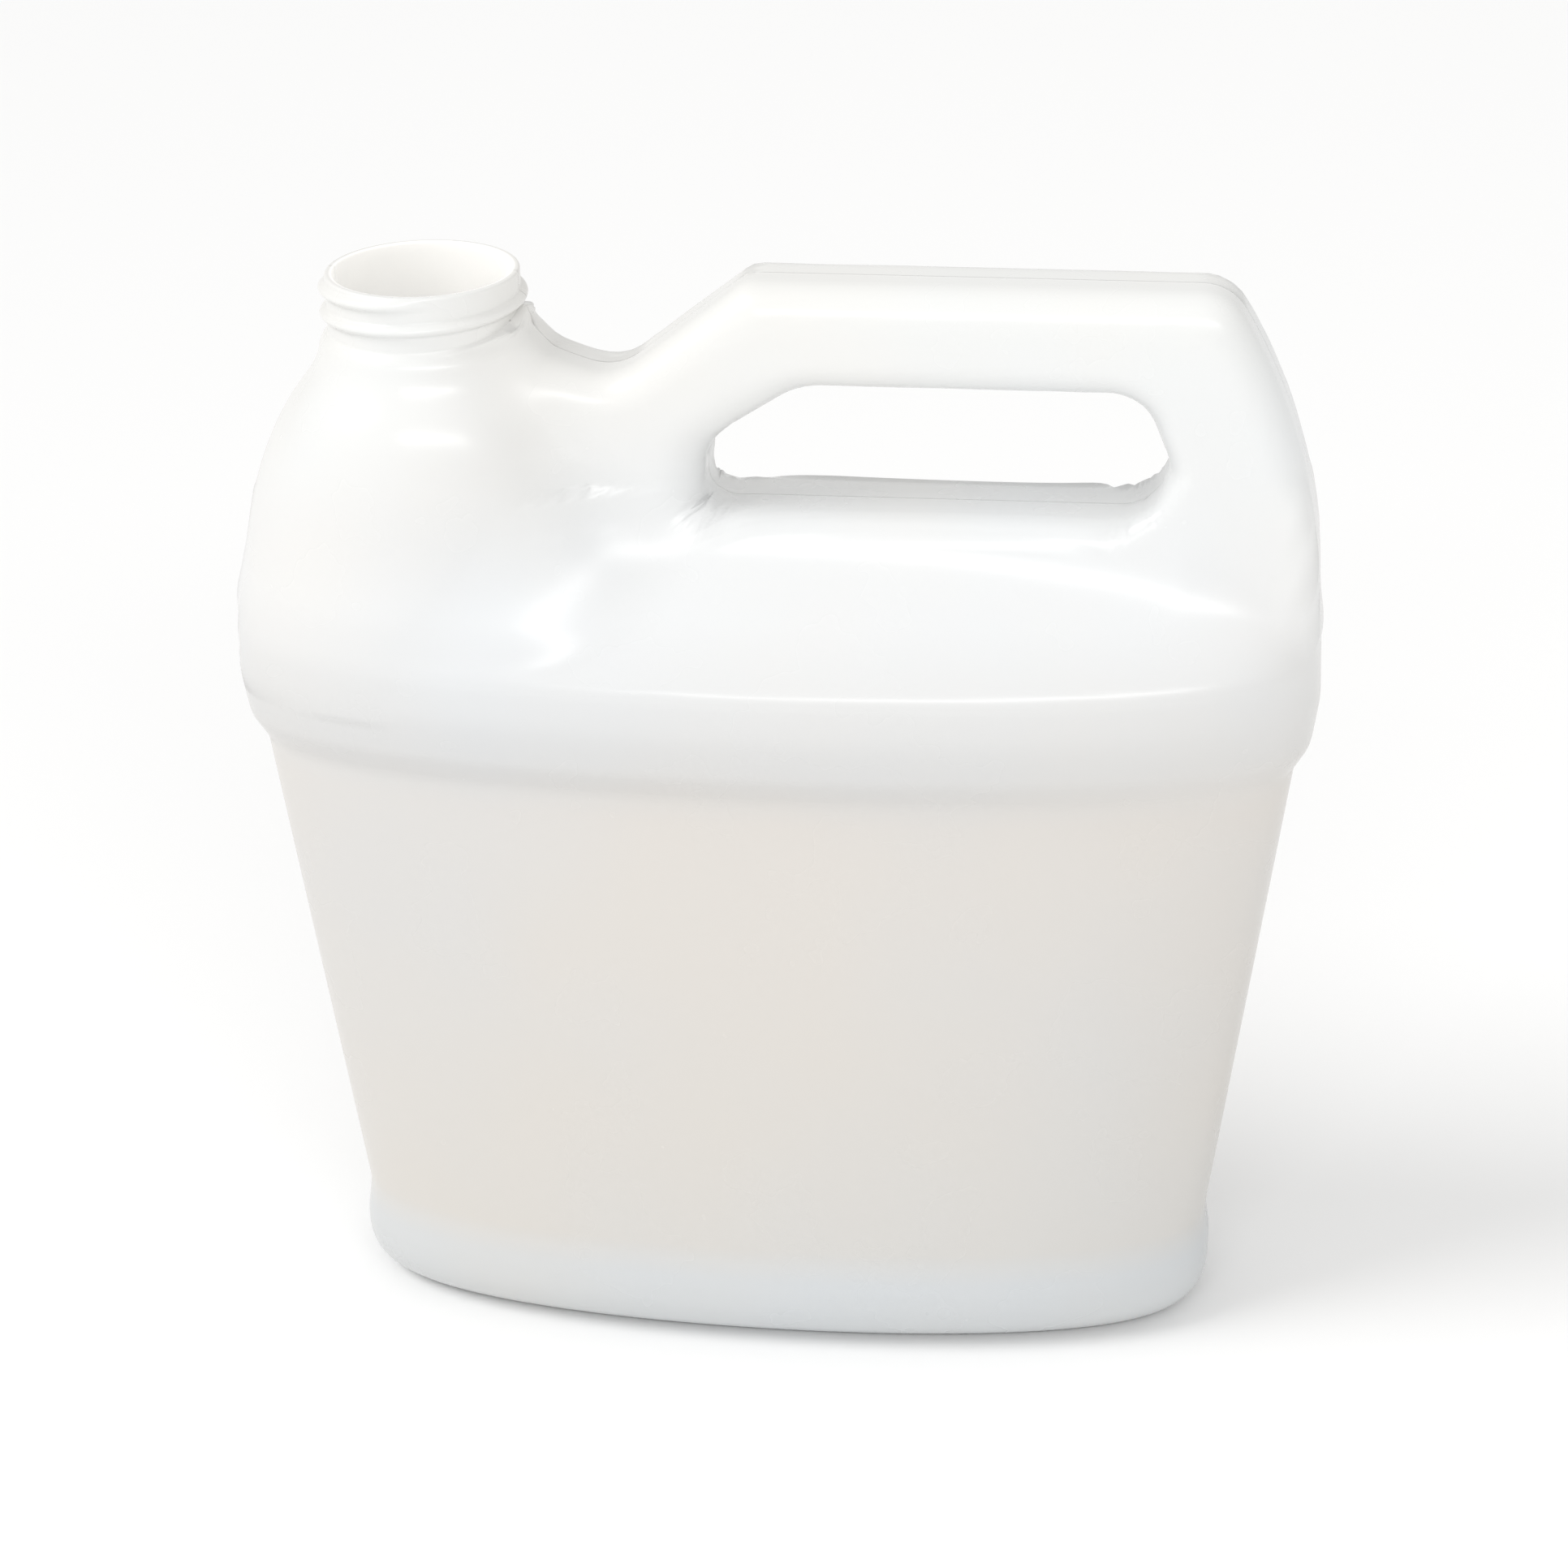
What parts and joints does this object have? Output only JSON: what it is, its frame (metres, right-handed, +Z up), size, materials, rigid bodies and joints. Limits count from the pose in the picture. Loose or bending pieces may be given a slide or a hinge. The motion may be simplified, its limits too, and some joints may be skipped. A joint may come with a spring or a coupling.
{
  "type": "f-style plastic jug",
  "caption": "Empty milky plastic jug with an offset threaded neck, a carrying handle moulded into the top and a tapered body with a label panel.",
  "frame": {"origin": "centre of the base, on the plane the jug stands on", "axes": "+X towards the handle's outer end (the neck is at -X), -Y is the front face, +Z up"},
  "size_m": [0.2556, 0.0852, 0.26],
  "materials": {
    "hdpe": "satin, slightly translucent natural white"
  },
  "bodies": {
    "root": {"jug": "hdpe"}
  },
  "joints": []
}
